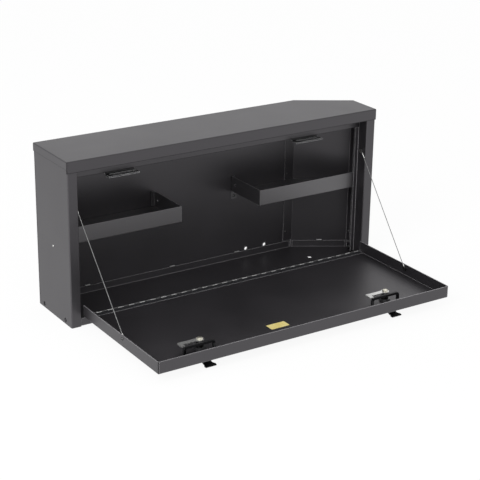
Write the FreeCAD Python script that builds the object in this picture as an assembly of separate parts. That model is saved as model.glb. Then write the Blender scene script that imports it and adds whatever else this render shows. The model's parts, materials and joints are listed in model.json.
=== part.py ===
import FreeCAD
import Part
import math
import os

V = FreeCAD.Vector

# Frame: X to the right, Y to the back, Z up, origin under the middle of the cabinet
# The door is modelled open, lying level in front of the cabinet

# Cabinet shell, millimetres
width = 762.0
depth = 152.4
height = 355.6
sheet = 1.5
bend = 1.0
corner_run_x = 115.0
corner_run_y = 67.0
cap_flange = 17.0
rail_height = 24.0
cap_radius = 2.0
face_width = 24.0
jamb_depth = 30.0
stop_width = 8.5
stop_drop = 21.6
rear_lap = 18.5
corner_lap = 24.0
side_lap = 14.0
corner_relief = 4.0
seam_gap = 0.3
cut_past = 1.0
near = 0.01

# Mounting and drain holes
bolt_hole_r = 4.5
bolt_hole_z = 8.5
bolt_hole_front = 30.0
left_bolt_pitch = 99.0
right_bolt_pitch = 38.1
tailgate_hole_r = 4.75
tailgate_hole_x = 163.0
tailgate_hole_pitch = 50.8
tailgate_hole_z = 22.0
drain_x = 263.5
drain_y = -4.2
drain_r = 4.5

# Trays
tray_sheet = 1.2
tray_z = 168.0
tray_wall = 36.0
left_tray_length = 274.6
right_tray_length = 279.3
tray_clear = 0.5
tray_front_gap = 1.5
tray_return = 8.0
tray_hole_r = 3.0
tray_hole_z = 19.0
tray_hole_back = 16.0
tab_width = 14.0
tab_drop = 20.0
tab_root = 12.0
outer_tab_inset = 42.0
right_tab_inset = 7.0
right_side_tab_front = 50.0

# Continuous hinge
knuckle_r = 3.2
knuckle_sides = 8
bore_sides = 6
knuckle_pitch = 12.7
knuckle_gap = 0.5
leaf_sheet = 1.2
leaf_width = 17.5
leaf_floor_gap = 1.6
hinge_pin_r = 1.6
hinge_pin_clear = 0.05
hinge_clear = 0.4
notch_clear = 0.6
hinge_end_margin = 2.0

# Door
door_gap_side = 3.9
door_gap_top = 2.0
door_gap_stop = 1.2
door_bend = 2.0
door_hinge_gap = 0.8
corner_slit = 0.6
slit_root = 1.5

# Locks
lock_inset = 125.1
lock_edge = 57.5
barrel_r = 8.0
barrel_clear = 0.1
bezel_r = 11.0
bezel_h = 2.5
bezel_chamfer = 0.8
plug_r = 5.0
plug_clear = 0.05
plug_inset = 0.3
keyway_width = 1.4
keyway_length = 6.0
keyway_deep = 3.0
drive_square = 6.0
drive_clear = 0.05
cam_gap = 0.4
cam_sheet = 2.5
cam_reach = 48.5
cam_width = 11.0
cam_hub_r = 8.5
hook_reach = 14.0
hook_width = 8.5
hook_round = 2.8
cam_bolt_flats = 13.0
cam_bolt_head_h = 3.0
cam_bolt_shank_r = 2.0
cam_bolt_length = 12.0
nut_flats = 22.0
nut_h = 4.0

# Lock brackets
strap_sheet = 4.5
strap_bend = 1.5
strap_rise = 16.6
strap_clear = 0.4
strap_margin = 1.9
strap_left = 43.0
strap_right = 29.0
strap_foot = 10.0

# Finger pulls
pull_sheet = 2.0
pull_bend = 5.0
pull_width = 25.0
pull_tail = 14.0
pull_flat = 15.0
pull_heel = 28.0
pull_tip = 44.0
pull_drop = 18.7
pull_dip = 1.0
pull_corner_r = 1.5
pull_waist = 3.0
pull_waist_r = 14.0

# Strikes
strike_sheet = 3.0
strike_bend = 2.0
strike_gap = 3.5
strike_left_end = 8.0
strike_right_end = 3.0
strike_front = 7.5
strike_leg = 21.5
slot_swing_clear = 6.4
slot_right = 12.0
slot_clear = 2.25
slot_corner_r = 2.0

# Stay cables
rope_r = 0.8
eye_clear = 0.1
eye_wall = 2.0
crimp_thick = 2.2
crimp_width = 4.4
crimp_reach = 18.6
anchor_shank_r = 2.5
anchor_hole_clear = 0.1
anchor_head_r = 5.0
anchor_head_h = 1.0
anchor_collar_r = 4.5
anchor_collar_h = 1.0
anchor_jamb_front = 16.0
anchor_jamb_z = 258.0
anchor_door_reach = 167.5
anchor_door_rise = 15.4

# Planes worked out from the sizes above
half = width / 2
y_front = -depth / 2
y_back = depth / 2
wall_x = half - sheet
inner_x = half - 2 * sheet
jamb_x = half - face_width
y_stop = y_front + jamb_depth
jamb_z = height - rail_height
stop_low = jamb_z - stop_drop
wall_top = height - sheet
hinge_y = y_front + 3 * sheet + leaf_sheet - knuckle_r
hinge_z = sheet + leaf_floor_gap + leaf_width
pan_flange = hinge_z - knuckle_r - hinge_clear
door_in = hinge_z + knuckle_r - leaf_sheet
door_out = door_in - sheet
door_half = jamb_x - door_gap_side
lip_in = door_half - sheet
y_free = hinge_y - (jamb_z - door_gap_top - hinge_z)
door_rear = hinge_y - knuckle_r - door_hinge_gap
lip_top = hinge_z + y_stop - door_gap_stop - hinge_y
lock_spread = door_half - lock_inset
lock_y = y_free + lock_edge
strap_top = door_in + strap_rise
barrel_top = strap_top - strap_sheet - strap_clear
drive_hole_r = drive_square / math.sqrt(2) + strap_clear
strap_width = 2 * (drive_hole_r + strap_margin)
cam_low = strap_top + cam_gap
cam_top = cam_low + cam_sheet
pull_low = door_out - pull_sheet
bezel_low = pull_low - bezel_h
tray_front = y_stop + sheet + tray_front_gap
tray_rear = y_back - 2 * sheet - tray_clear
tray_out = inner_x - sheet - tray_clear
strike_top = stop_low - strike_gap
anchor_jamb_y = y_front + anchor_jamb_front
anchor_door_y = hinge_y - anchor_door_reach
anchor_door_z = door_in + anchor_door_rise
eye_room = crimp_thick + 2 * eye_clear
knuckle_count = 2 * int((2 * lip_in - 2 * hinge_end_margin - knuckle_pitch) / (2 * knuckle_pitch)) + 1
hinge_length = knuckle_count * knuckle_pitch

turn_to = {
    "x": FreeCAD.Placement(V(0, 0, 0), FreeCAD.Rotation(V(1, 1, 1), 120)),
    "y": FreeCAD.Placement(V(0, 0, 0), FreeCAD.Rotation(V(1, 0, 0), 90)),
    "z": FreeCAD.Placement(),
}


# Shared shapes

def block(x0, x1, y0, y1, z0, z1):
    return Part.makeBox(x1 - x0, y1 - y0, z1 - z0, V(x0, y0, z0))


def prism(points, low, high):
    corners = [V(x, y, low) for x, y in points]
    wire = Part.makePolygon(corners + corners[:1])
    return Part.Face(wire).extrude(V(0, 0, high - low))


def fold_side(points, offset, mid_radius, level):
    # One side of a folded sheet: straight runs joined by arcs, offset to the left of the centre line
    line = [V(u, v, level) for u, v in points]
    edges = []
    heading = (line[1] - line[0]).normalize()
    last = line[0] + V(-heading.y, heading.x, 0) * offset
    for before, corner, after in zip(line, line[1:], line[2:]):
        into = (corner - before).normalize()
        out = (after - corner).normalize()
        turn = math.atan2(into.cross(out).z, into.dot(out))
        way = math.copysign(1, turn)
        setback = mid_radius * math.tan(abs(turn) / 2)
        into_left = V(-into.y, into.x, 0)
        out_left = V(-out.y, out.x, 0)
        centre = corner - into * setback + into_left * (way * mid_radius)
        arc_start = corner - into * setback + into_left * offset
        arc_end = corner + out * setback + out_left * offset
        arc_mid = centre + (corner - centre).normalize() * (mid_radius - way * offset)
        edges.append(Part.LineSegment(last, arc_start).toShape())
        edges.append(Part.Arc(arc_start, arc_mid, arc_end).toShape())
        last = arc_end
    heading = (line[-1] - line[-2]).normalize()
    end = line[-1] + V(-heading.y, heading.x, 0) * offset
    edges.append(Part.LineSegment(last, end).toShape())
    return edges


def folded(points, thick, radius, low, high, axis):
    # Sheet folded along a centre line and carried from low to high along an axis
    # The line is drawn in x, y for axis z, in y, z for axis x and in x, z for axis y
    level, end_level = (-high, -low) if axis == "y" else (low, high)
    left = fold_side(points, thick / 2, radius + thick / 2, level)
    right = fold_side(points, -thick / 2, radius + thick / 2, level)
    start_cap = Part.LineSegment(left[0].Vertexes[0].Point, right[0].Vertexes[0].Point).toShape()
    end_cap = Part.LineSegment(left[-1].Vertexes[-1].Point, right[-1].Vertexes[-1].Point).toShape()
    wire = Part.Wire(Part.__sortEdges__(left + right + [start_cap, end_cap]))
    solid = Part.Face(wire).extrude(V(0, 0, end_level - level))
    solid.Placement = turn_to[axis] * solid.Placement
    return solid


def fold_edges(solid, skin_z, open_y, corner_y):
    # Edges round the skin except along its open side, and the upright edges of one side
    picked = []
    for edge in solid.Edges:
        ends = [v.Point for v in edge.Vertexes]
        on_skin = all(abs(p.z - skin_z) < near for p in ends)
        at_open = all(abs(p.y - open_y) < near for p in ends)
        upright = abs(ends[0].z - ends[1].z) > near
        at_corner = all(abs(p.y - corner_y) < near for p in ends)
        if (on_skin and not at_open) or (upright and at_corner):
            picked.append(edge)
    return picked


def round_low_edges(solid, radius):
    low = solid.BoundBox.ZMin
    edges = [e for e in solid.Edges if all(abs(v.Z - low) < near for v in e.Vertexes)]
    return solid.makeFillet(radius, edges)


def corner_x_at(y, inset):
    # X of the angled corner line, moved inward by inset, at a given Y
    slant = math.hypot(corner_run_x, corner_run_y)
    return half - corner_run_x + (y_back - y) * corner_run_x / corner_run_y - inset * slant / corner_run_y


def corner_y_at(x, inset):
    slant = math.hypot(corner_run_x, corner_run_y)
    return y_back - (x - half + corner_run_x) * corner_run_y / corner_run_x - inset * slant / corner_run_x


def outline(side, front, corner, back):
    # Plan of the cabinet with each edge moved inward
    right = half - side
    rear = y_back - back
    return [
        (-right, y_front + front),
        (right, y_front + front),
        (right, corner_y_at(right, corner)),
        (corner_x_at(rear, corner), rear),
        (-right, rear),
    ]


# Cabinet sheets

def top_cap():
    # Roof with flanges folded down on every side but the back, the front one being the top rail
    roof = prism(outline(0, 0, 0, 0), jamb_z, height)
    roof = roof.makeFillet(cap_radius, fold_edges(roof, height, y_back, y_front))
    inside = prism(outline(sheet, sheet, sheet, -sheet), jamb_z - sheet, wall_top)
    below = block(-width, width, y_front + sheet, depth, jamb_z - sheet, height - cap_flange)
    return roof.cut([inside, below])


def bolt_holes(side, pitch):
    start = side * (half - 4 * sheet)
    first = y_front + bolt_hole_front
    return [
        Part.makeCylinder(bolt_hole_r, 4 * sheet, V(start, y, bolt_hole_z), V(side, 0, 0))
        for y in (first, first + pitch)
    ]


def jamb_anchor_hole(side):
    start = V(side * (jamb_x - sheet), anchor_jamb_y, anchor_jamb_z)
    return Part.makeCylinder(anchor_shank_r + anchor_hole_clear, 4 * sheet, start, V(side, 0, 0))


def side_panel(side, rear_points, pitch):
    # Side wall, face flange, jamb return and stop flange folded from one sheet
    points = rear_points + [
        (side * (wall_x - sheet / 2), y_front + 1.5 * sheet),
        (side * (jamb_x + sheet / 2), y_front + 1.5 * sheet),
        (side * (jamb_x + sheet / 2), y_stop + sheet / 2),
        (side * (jamb_x - stop_width), y_stop + sheet / 2),
    ]
    panel = folded(points, sheet, bend, 0, wall_top, "z")
    floor = prism(outline(2 * sheet, 2 * sheet, 2 * sheet, sheet), -sheet, sheet)
    xs = sorted((side * (jamb_x - 2 * stop_width), side * (jamb_x + 2 * sheet)))
    top_stop = block(xs[0], xs[1], y_stop - bend - seam_gap, y_stop + 2 * sheet, stop_low - seam_gap, height)
    cuts = [floor, top_stop, jamb_anchor_hole(side)]
    return panel.cut(cuts + bolt_holes(side, pitch))


def left_side_panel():
    rear = y_back - 1.5 * sheet
    rear_points = [(-wall_x + rear_lap, rear), (-wall_x + sheet / 2, rear)]
    panel = side_panel(-1, rear_points, left_bolt_pitch)
    notch_x = -wall_x + sheet + bend + seam_gap
    notch = block(notch_x, -jamb_x, y_back - 4 * sheet, y_back, -sheet, pan_flange + sheet)
    return panel.cut(notch)


def right_side_panel():
    rear_points = [(wall_x - sheet / 2, corner_y_at(wall_x, sheet) - seam_gap)]
    return side_panel(1, rear_points, right_bolt_pitch)


def top_jamb():
    # Channel behind the top rail: weld flange, jamb and the stop that the closed door meets
    points = [
        (y_front + 1.5 * sheet, wall_top - 2 * sheet),
        (y_front + 1.5 * sheet, jamb_z + sheet / 2),
        (y_stop + sheet / 2, jamb_z + sheet / 2),
        (y_stop + sheet / 2, stop_low),
    ]
    return folded(points, sheet, bend, -jamb_x + seam_gap, jamb_x - seam_gap, "x")


def tailgate_holes():
    return [
        Part.makeCylinder(tailgate_hole_r, 3 * sheet, V(x, y_back - 2 * sheet, tailgate_hole_z), V(0, 1, 0))
        for x in (tailgate_hole_x - tailgate_hole_pitch / 2, tailgate_hole_x + tailgate_hole_pitch / 2)
    ]


def back_panel():
    panel = block(-wall_x, corner_x_at(y_back, sheet) - seam_gap, y_back - sheet, y_back, 0, wall_top)
    return panel.cut(tailgate_holes())


def corner_lap_edge():
    return corner_x_at(y_back - 1.5 * sheet, 1.5 * sheet) - corner_lap


def side_lap_edge():
    return corner_y_at(inner_x - sheet / 2, 1.5 * sheet) - side_lap


def corner_panel():
    # Angled wall whose two lap flanges lie inside the back panel and the right side wall
    lap_y = y_back - 1.5 * sheet
    lap_x = inner_x - sheet / 2
    points = [
        (corner_lap_edge(), lap_y),
        (corner_x_at(lap_y, 1.5 * sheet), lap_y),
        (lap_x, corner_y_at(lap_x, 1.5 * sheet)),
        (lap_x, side_lap_edge()),
    ]
    panel = folded(points, sheet, bend, 0, wall_top, "z")
    pan_room = prism(outline(0, 0, 2 * sheet, 0), -sheet, pan_flange + sheet)
    return panel.cut(pan_room)


def bottom_pan():
    # Floor with flanges bent up all round, relieved at its corners and open in front of the jambs
    plan = outline(2 * sheet, 2 * sheet, 2 * sheet, sheet)
    inner = outline(3 * sheet, 3 * sheet, 3 * sheet, 2 * sheet)
    pan = round_low_edges(prism(plan, 0, pan_flange), bend + sheet)
    pan = pan.cut(round_low_edges(prism(inner, sheet, pan_flange + sheet), bend))
    relief = corner_relief
    cuts = [block(x - relief, x + relief, y - relief, y + relief, sheet, 2 * pan_flange) for x, y in plan]
    clear_x = jamb_x - seam_gap
    for x0, x1 in ((-half, -clear_x), (clear_x, half)):
        cuts.append(block(x0, x1, y_front, y_front + 2 * sheet + corner_relief, sheet, 2 * pan_flange))
    cuts += bolt_holes(-1, left_bolt_pitch) + bolt_holes(1, right_bolt_pitch)
    cuts.append(Part.makeCylinder(drain_r, 3 * sheet, V(drain_x, drain_y, -sheet)))
    return pan.cut(cuts)


# Trays, modelled on the right and mirrored for the left

def left_rear_tabs():
    # Inner edge of each rear tab, measured out from the middle plane of the cabinet
    return [tray_out - left_tray_length, tray_out - outer_tab_inset]


def right_rear_tabs():
    # The outer tab stops short of the corner panel's lap
    return [tray_out - right_tray_length, corner_lap_edge() - right_tab_inset - tab_width]


def tray_shell(tab_edges, side_tab_y):
    # The first tab edge is also the inner end of the tray
    inner_end = tab_edges[0]
    mid_z = tray_z + tray_sheet / 2
    top = tray_z + tray_wall
    tab_low = tray_z + tray_sheet - tab_drop
    front_line = tray_front + tray_sheet / 2
    end_line = inner_end + tray_sheet / 2
    wall_line = inner_x - tray_sheet / 2
    back_line = y_back - sheet - tray_sheet / 2
    floor = folded([(tray_rear, mid_z), (front_line, mid_z), (front_line, top)],
                   tray_sheet, bend, inner_end, tray_out, "x")
    end_wall = folded([(inner_end + tab_width, mid_z), (end_line, mid_z), (end_line, top)],
                      tray_sheet, bend, tray_front + tray_sheet + bend + seam_gap, tray_rear, "y")
    rear_line = tray_rear - tray_sheet / 2
    end_return = folded([(inner_end + tray_return, rear_line), (end_line, rear_line),
                         (end_line, rear_line - tray_return)],
                        tray_sheet, bend, tray_z + tray_sheet + 2 * bend, top, "z")
    pieces = [end_wall, end_return]
    for edge in tab_edges:
        pieces.append(folded([(tray_rear - tab_root, mid_z), (back_line, mid_z), (back_line, tab_low)],
                             tray_sheet, bend, edge, edge + tab_width, "x"))
    pieces.append(folded([(tray_out - tab_root, mid_z), (wall_line, mid_z), (wall_line, tab_low)],
                         tray_sheet, bend, side_tab_y - tab_width / 2, side_tab_y + tab_width / 2, "y"))
    tray = floor.fuse(pieces).removeSplitter()
    hole_at = V(inner_end - tray_sheet, tray_rear - tray_hole_back, tray_z + tray_hole_z)
    return tray.cut(Part.makeCylinder(tray_hole_r, 3 * tray_sheet, hole_at, V(1, 0, 0)))


def left_tray():
    return tray_shell(left_rear_tabs(), 0).mirror(V(0, 0, 0), V(1, 0, 0))


def right_tray():
    # The rear corner is clipped along the angled wall
    tray = tray_shell(right_rear_tabs(), y_front + right_side_tab_front)
    room = prism(outline(-sheet, 0, 2 * sheet + tray_clear, -sheet), 0, height)
    return tray.common(room)


# Strikes

def slot_reach():
    # How far to the left the hook's corner crosses the shelf as the cam swings up, and the clearance past it
    closed_lock_z = hinge_z + hinge_y - lock_y
    rise = strike_top - strike_sheet - closed_lock_z
    swing = math.hypot(cam_reach, hook_reach)
    return math.sqrt(swing ** 2 - rise ** 2) + slot_swing_clear


def strike(lock_x):
    # Slotted shelf on a leg welded behind the top stop; the cam swings up through the slot
    shelf_mid = strike_top - strike_sheet / 2
    leg_mid = y_stop + sheet + strike_sheet / 2
    slot_mid = hinge_y + (cam_low + cam_top) / 2 - hinge_z
    slot_half = cam_sheet / 2 + slot_clear
    front = slot_mid - slot_half - strike_front
    left = lock_x - slot_reach()
    right = lock_x + slot_right
    points = [(front, shelf_mid), (leg_mid, shelf_mid), (leg_mid, strike_top - strike_sheet + strike_leg)]
    shelf = folded(points, strike_sheet, strike_bend, left - strike_left_end, right + strike_right_end, "x")
    slot = block(left, right, slot_mid - slot_half, slot_mid + slot_half,
                 strike_top - 2 * strike_sheet, strike_top + strike_sheet)
    uprights = [e for e in slot.Edges if abs(e.Vertexes[0].Z - e.Vertexes[1].Z) > strike_sheet]
    return shelf.cut(slot.makeFillet(slot_corner_r, uprights))


# Hinge

def knuckle_starts(first):
    left = -hinge_length / 2 + knuckle_gap / 2
    return [left + i * knuckle_pitch for i in range(first, knuckle_count, 2)]


def knuckle_prism(sides, flat_r, length):
    # Many-sided bar along the hinge axis, with its flats at a given radius and one of them on top
    reach = flat_r / math.cos(math.pi / sides)
    turns = [2 * math.pi * (i + 0.5) / sides for i in range(sides)]
    corners = [V(0, hinge_y + reach * math.sin(a), hinge_z + reach * math.cos(a)) for a in turns]
    return Part.Face(Part.makePolygon(corners + corners[:1])).extrude(V(length, 0, 0))


def hinge_leaf(first, plate, tongue):
    # Leaf plate with a knuckle at every second place; they are many, so each has few faces
    barrel = knuckle_prism(knuckle_sides, knuckle_r, knuckle_pitch - knuckle_gap)
    bore = knuckle_prism(bore_sides, hinge_pin_r + hinge_pin_clear, knuckle_pitch)
    knuckle = barrel.fuse(tongue).removeSplitter().cut(bore)
    knuckles = []
    for x in knuckle_starts(first):
        copy = knuckle.copy()
        copy.translate(V(x, 0, 0))
        knuckles.append(copy)
    return plate.fuse(knuckles).removeSplitter()


def cabinet_hinge_leaf():
    # Hangs down behind the front flange of the pan
    y0 = hinge_y + knuckle_r - leaf_sheet
    y1 = hinge_y + knuckle_r
    notch = hinge_z - knuckle_r - notch_clear
    plate = block(-hinge_length / 2, hinge_length / 2, y0, y1, hinge_z - leaf_width, notch)
    tongue = block(0, knuckle_pitch - knuckle_gap, y0, y1, notch, hinge_z)
    return hinge_leaf(0, plate, tongue)


def door_hinge_leaf():
    # Lies on the inner face of the door skin
    z1 = hinge_z + knuckle_r
    notch = hinge_y - knuckle_r - notch_clear
    plate = block(-hinge_length / 2, hinge_length / 2, hinge_y - leaf_width, notch, door_in, z1)
    tongue = block(0, knuckle_pitch - knuckle_gap, notch, hinge_y, door_in, z1)
    return hinge_leaf(1, plate, tongue)


def hinge_pin():
    return Part.makeCylinder(hinge_pin_r, hinge_length, V(-hinge_length / 2, hinge_y, hinge_z), V(1, 0, 0))


# Door

def door_pan():
    # Skin with a lip on three sides, open along the hinge, and an open seam at each free corner
    pan = block(-door_half, door_half, y_free, door_rear, door_out, lip_top)
    pan = pan.makeFillet(door_bend, fold_edges(pan, door_out, door_rear, y_free))
    inside = block(-lip_in, lip_in, y_free + sheet, door_rear + sheet, door_in, lip_top + sheet)
    cuts = [inside]
    for side in (-1, 1):
        xs = sorted((side * lip_in, side * (lip_in - corner_slit)))
        cuts.append(block(xs[0], xs[1], y_free - sheet, y_free + 2 * sheet, door_in + slit_root, 2 * lip_top))
        cuts.append(Part.makeCylinder(barrel_r + barrel_clear, 3 * sheet,
                                      V(side * lock_spread, lock_y, door_out - sheet)))
        pin_at = V(side * (lip_in - sheet), anchor_door_y, anchor_door_z)
        cuts.append(Part.makeCylinder(anchor_shank_r + anchor_hole_clear, 3 * sheet, pin_at, V(side, 0, 0)))
    return pan.cut(cuts)


# Locks

def lock_barrel(lock_x):
    bezel = Part.makeCylinder(bezel_r, bezel_h, V(lock_x, lock_y, bezel_low))
    rim = [e for e in bezel.Edges if len(e.Vertexes) == 1 and abs(e.Vertexes[0].Z - bezel_low) < near]
    bezel = bezel.makeChamfer(bezel_chamfer, rim)
    barrel = Part.makeCylinder(barrel_r, barrel_top - bezel_low, V(lock_x, lock_y, bezel_low))
    bore = Part.makeCylinder(plug_r + plug_clear, barrel_top - bezel_low + 2 * cut_past,
                             V(lock_x, lock_y, bezel_low - cut_past))
    return bezel.fuse(barrel).removeSplitter().cut(bore)


def lock_plug(lock_x):
    # Key plug with a keyway in front, a square drive through the strap and a tapped hole for the cam bolt
    face = bezel_low + plug_inset
    plug = Part.makeCylinder(plug_r, barrel_top - face, V(lock_x, lock_y, face))
    reach = drive_square / 2
    drive = block(lock_x - reach, lock_x + reach, lock_y - reach, lock_y + reach,
                  barrel_top, cam_top - drive_clear)
    keyway = block(lock_x - keyway_width / 2, lock_x + keyway_width / 2,
                   lock_y - keyway_length / 2, lock_y + keyway_length / 2,
                   face - cut_past, face + keyway_deep)
    depth_of_hole = cam_bolt_length + drive_clear
    hole_at = V(lock_x, lock_y, cam_top - depth_of_hole)
    hole = Part.makeCylinder(cam_bolt_shank_r + drive_clear, depth_of_hole, hole_at)
    return plug.fuse(drive).removeSplitter().cut([keyway, hole])


def lock_cam(lock_x):
    # Hooked plate, resting with its arm along the door and its hook towards the free edge
    hub = Part.makeCylinder(cam_hub_r, cam_sheet, V(lock_x, lock_y, cam_low))
    arm_half = cam_width / 2
    tip = lock_x - cam_reach
    outer = [
        (lock_x, lock_y + arm_half),
        (tip, lock_y + arm_half),
        (tip, lock_y - hook_reach),
        (tip + hook_width, lock_y - hook_reach),
        (tip + hook_width, lock_y - arm_half),
        (lock_x, lock_y - arm_half),
    ]
    arm = prism(outer, cam_low, cam_top)
    ends = [e for e in arm.Edges if abs(e.Vertexes[0].Z - e.Vertexes[1].Z) > cam_sheet / 2
            and e.Vertexes[0].X < tip + hook_width / 2]
    arm = arm.makeFillet(hook_round, ends)
    reach = drive_square / 2 + drive_clear
    drive = block(lock_x - reach, lock_x + reach, lock_y - reach, lock_y + reach,
                  cam_low - cut_past, cam_top + cut_past)
    return hub.fuse(arm).removeSplitter().cut(drive)


def hexagon(lock_x, flats):
    reach = flats / math.sqrt(3)
    turns = [math.radians(60 * i) for i in range(6)]
    return [(lock_x + reach * math.cos(a), lock_y + reach * math.sin(a)) for a in turns]


def cam_bolt(lock_x):
    head = prism(hexagon(lock_x, cam_bolt_flats), cam_top, cam_top + cam_bolt_head_h)
    shank = Part.makeCylinder(cam_bolt_shank_r, cam_bolt_length, V(lock_x, lock_y, cam_top - cam_bolt_length))
    return head.fuse(shank)


def lock_nut(lock_x):
    hole = Part.makeCylinder(barrel_r + barrel_clear, 3 * nut_h, V(lock_x, lock_y, door_in - nut_h))
    return prism(hexagon(lock_x, nut_flats), door_in, door_in + nut_h).cut(hole)


def lock_bracket(lock_x):
    # Bridge strap over the barrel and under the cam, with turned-in feet and a hole for the drive
    foot_mid = door_in + strap_sheet / 2
    top_mid = strap_top - strap_sheet / 2
    left = lock_x - strap_left + strap_sheet / 2
    right = lock_x + strap_right - strap_sheet / 2
    points = [(left + strap_foot, foot_mid), (left, foot_mid), (left, top_mid),
              (right, top_mid), (right, foot_mid), (right - strap_foot, foot_mid)]
    strap = folded(points, strap_sheet, strap_bend, lock_y - strap_width / 2, lock_y + strap_width / 2, "y")
    hole_at = V(lock_x, lock_y, top_mid - strap_sheet)
    return strap.cut(Part.makeCylinder(drive_hole_r, 2 * strap_sheet, hole_at))


def finger_pull(lock_x):
    # Waisted plate clamped under the lock head that turns down and out into a pull
    flat = door_out - pull_sheet / 2
    points = [(lock_y + pull_tail, flat), (lock_y - pull_flat, flat),
              (lock_y - pull_heel, door_out - pull_drop),
              (lock_y - pull_tip, door_out - pull_drop - pull_dip)]
    pull = folded(points, pull_sheet, pull_bend, lock_x - pull_width / 2, lock_x + pull_width / 2, "x")
    ends = []
    for edge in pull.Edges:
        places = [v.Point for v in edge.Vertexes]
        short = edge.Length < pull_sheet + near
        at_side = abs(abs(places[0].x - lock_x) - pull_width / 2) < near
        across = abs(places[0].x - places[-1].x) < near
        if short and at_side and across:
            ends.append(edge)
    pull = pull.makeFillet(pull_corner_r, ends)
    hole_at = V(lock_x, lock_y, pull_low - pull_sheet)
    cuts = [Part.makeCylinder(barrel_r + barrel_clear, 3 * pull_sheet, hole_at)]
    for side in (-1, 1):
        waist_x = lock_x + side * (pull_width / 2 + pull_waist_r - pull_waist)
        waist_at = V(waist_x, lock_y - (pull_flat + pull_tip) / 2, door_out - 2 * pull_drop)
        cuts.append(Part.makeCylinder(pull_waist_r, 3 * pull_drop, waist_at))
    return pull.cut(cuts)


# Stay cables and their anchors

def anchor(face, side, steps):
    # Stepped pin on an X axis: each step is a radius, a start and a length, measured into the opening
    pieces = []
    for radius, start, length in steps:
        at = V(face.x - side * start, face.y, face.z)
        pieces.append(Part.makeCylinder(radius, length, at, V(-side, 0, 0)))
    return pieces[0].fuse(pieces[1:]).removeSplitter()


def cable_anchor(side):
    # Headed pin through the jamb, low enough for the closed door to pass
    return anchor(V(side * jamb_x, anchor_jamb_y, anchor_jamb_z), side, [
        (anchor_shank_r, -sheet, sheet + eye_room),
        (anchor_head_r, eye_room, anchor_head_h),
    ])


def door_anchor(side):
    # Headed pin through the door's side lip, with a collar that holds the cable clear of the lip
    return anchor(V(side * lip_in, anchor_door_y, anchor_door_z), side, [
        (anchor_shank_r, -sheet, sheet + anchor_collar_h + eye_room),
        (anchor_collar_r, 0, anchor_collar_h),
        (anchor_head_r, anchor_collar_h + eye_room, anchor_head_h),
    ])


def crimped_eye(centre, run):
    # Loop pressed flat with its crimp, in the plane of the wall beside it
    hole_r = anchor_shank_r + eye_clear
    start = V(centre.x - crimp_thick / 2, centre.y, centre.z)
    ring = Part.makeCylinder(hole_r + eye_wall, crimp_thick, start, V(1, 0, 0))
    crimp = Part.makeBox(crimp_thick, crimp_width, crimp_reach, V(-crimp_thick / 2, -crimp_width / 2, 0))
    turn = FreeCAD.Rotation(V(1, 0, 0), run.cross(V(1, 0, 0)), run, "ZXY")
    crimp.Placement = FreeCAD.Placement(centre, turn)
    hole_at = V(centre.x - crimp_thick, centre.y, centre.z)
    hole = Part.makeCylinder(hole_r, 2 * crimp_thick, hole_at, V(1, 0, 0))
    return ring.fuse(crimp).removeSplitter().cut(hole)


def stay_cable(side):
    # Taut rope from an eye on the jamb pin to an eye on the door pin
    upper = V(side * (jamb_x - eye_room / 2), anchor_jamb_y, anchor_jamb_z)
    lower = V(side * (lip_in - anchor_collar_h - eye_room / 2), anchor_door_y, anchor_door_z)
    run = V(0, lower.y - upper.y, lower.z - upper.z).normalize()
    start = upper + run * (crimp_reach - rope_r)
    end = lower - run * (crimp_reach - rope_r)
    rope = Part.makeCylinder(rope_r, start.distanceToPoint(end), start, end - start)
    return rope.fuse([crimped_eye(upper, run), crimped_eye(lower, run * -1)])


def pair(make):
    # One piece for each lock or side, kept together as one node
    return Part.makeCompound([make(-1), make(1)])


def lock_pair(make):
    return Part.makeCompound([make(-lock_spread), make(lock_spread)])


def all_parts():
    parts = {
        "top_cap": top_cap(),
        "top_jamb": top_jamb(),
        "left_side_panel": left_side_panel(),
        "right_side_panel": right_side_panel(),
        "back_panel": back_panel(),
        "corner_panel": corner_panel(),
        "bottom_pan": bottom_pan(),
        "left_tray": left_tray(),
        "right_tray": right_tray(),
        "cabinet_hinge_leaf": cabinet_hinge_leaf(),
        "door_hinge_leaf": door_hinge_leaf(),
        "hinge_pin": hinge_pin(),
        "door_pan": door_pan(),
        "lock_barrels": lock_pair(lock_barrel),
        "lock_nuts": lock_pair(lock_nut),
        "lock_brackets": lock_pair(lock_bracket),
        "finger_pulls": lock_pair(finger_pull),
        "cable_anchors": pair(cable_anchor),
        "door_anchors": pair(door_anchor),
    }
    for name, side in (("left", -1), ("right", 1)):
        lock_x = side * lock_spread
        parts[name + "_strike"] = strike(lock_x)
        parts[name + "_lock_plug"] = lock_plug(lock_x)
        parts[name + "_lock_cam"] = lock_cam(lock_x)
        parts[name + "_cam_bolt"] = cam_bolt(lock_x)
        parts[name + "_stay_cable"] = stay_cable(side)
    return parts


os.makedirs("parts", exist_ok=True)
for part_name, shape in all_parts().items():
    shape.exportStep("parts/" + part_name + ".step")
    print(part_name, len(shape.Solids), shape.isValid(), round(shape.Volume))
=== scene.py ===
import bpy
import bmesh
import json
import math
from mathutils import Matrix, Vector


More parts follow.
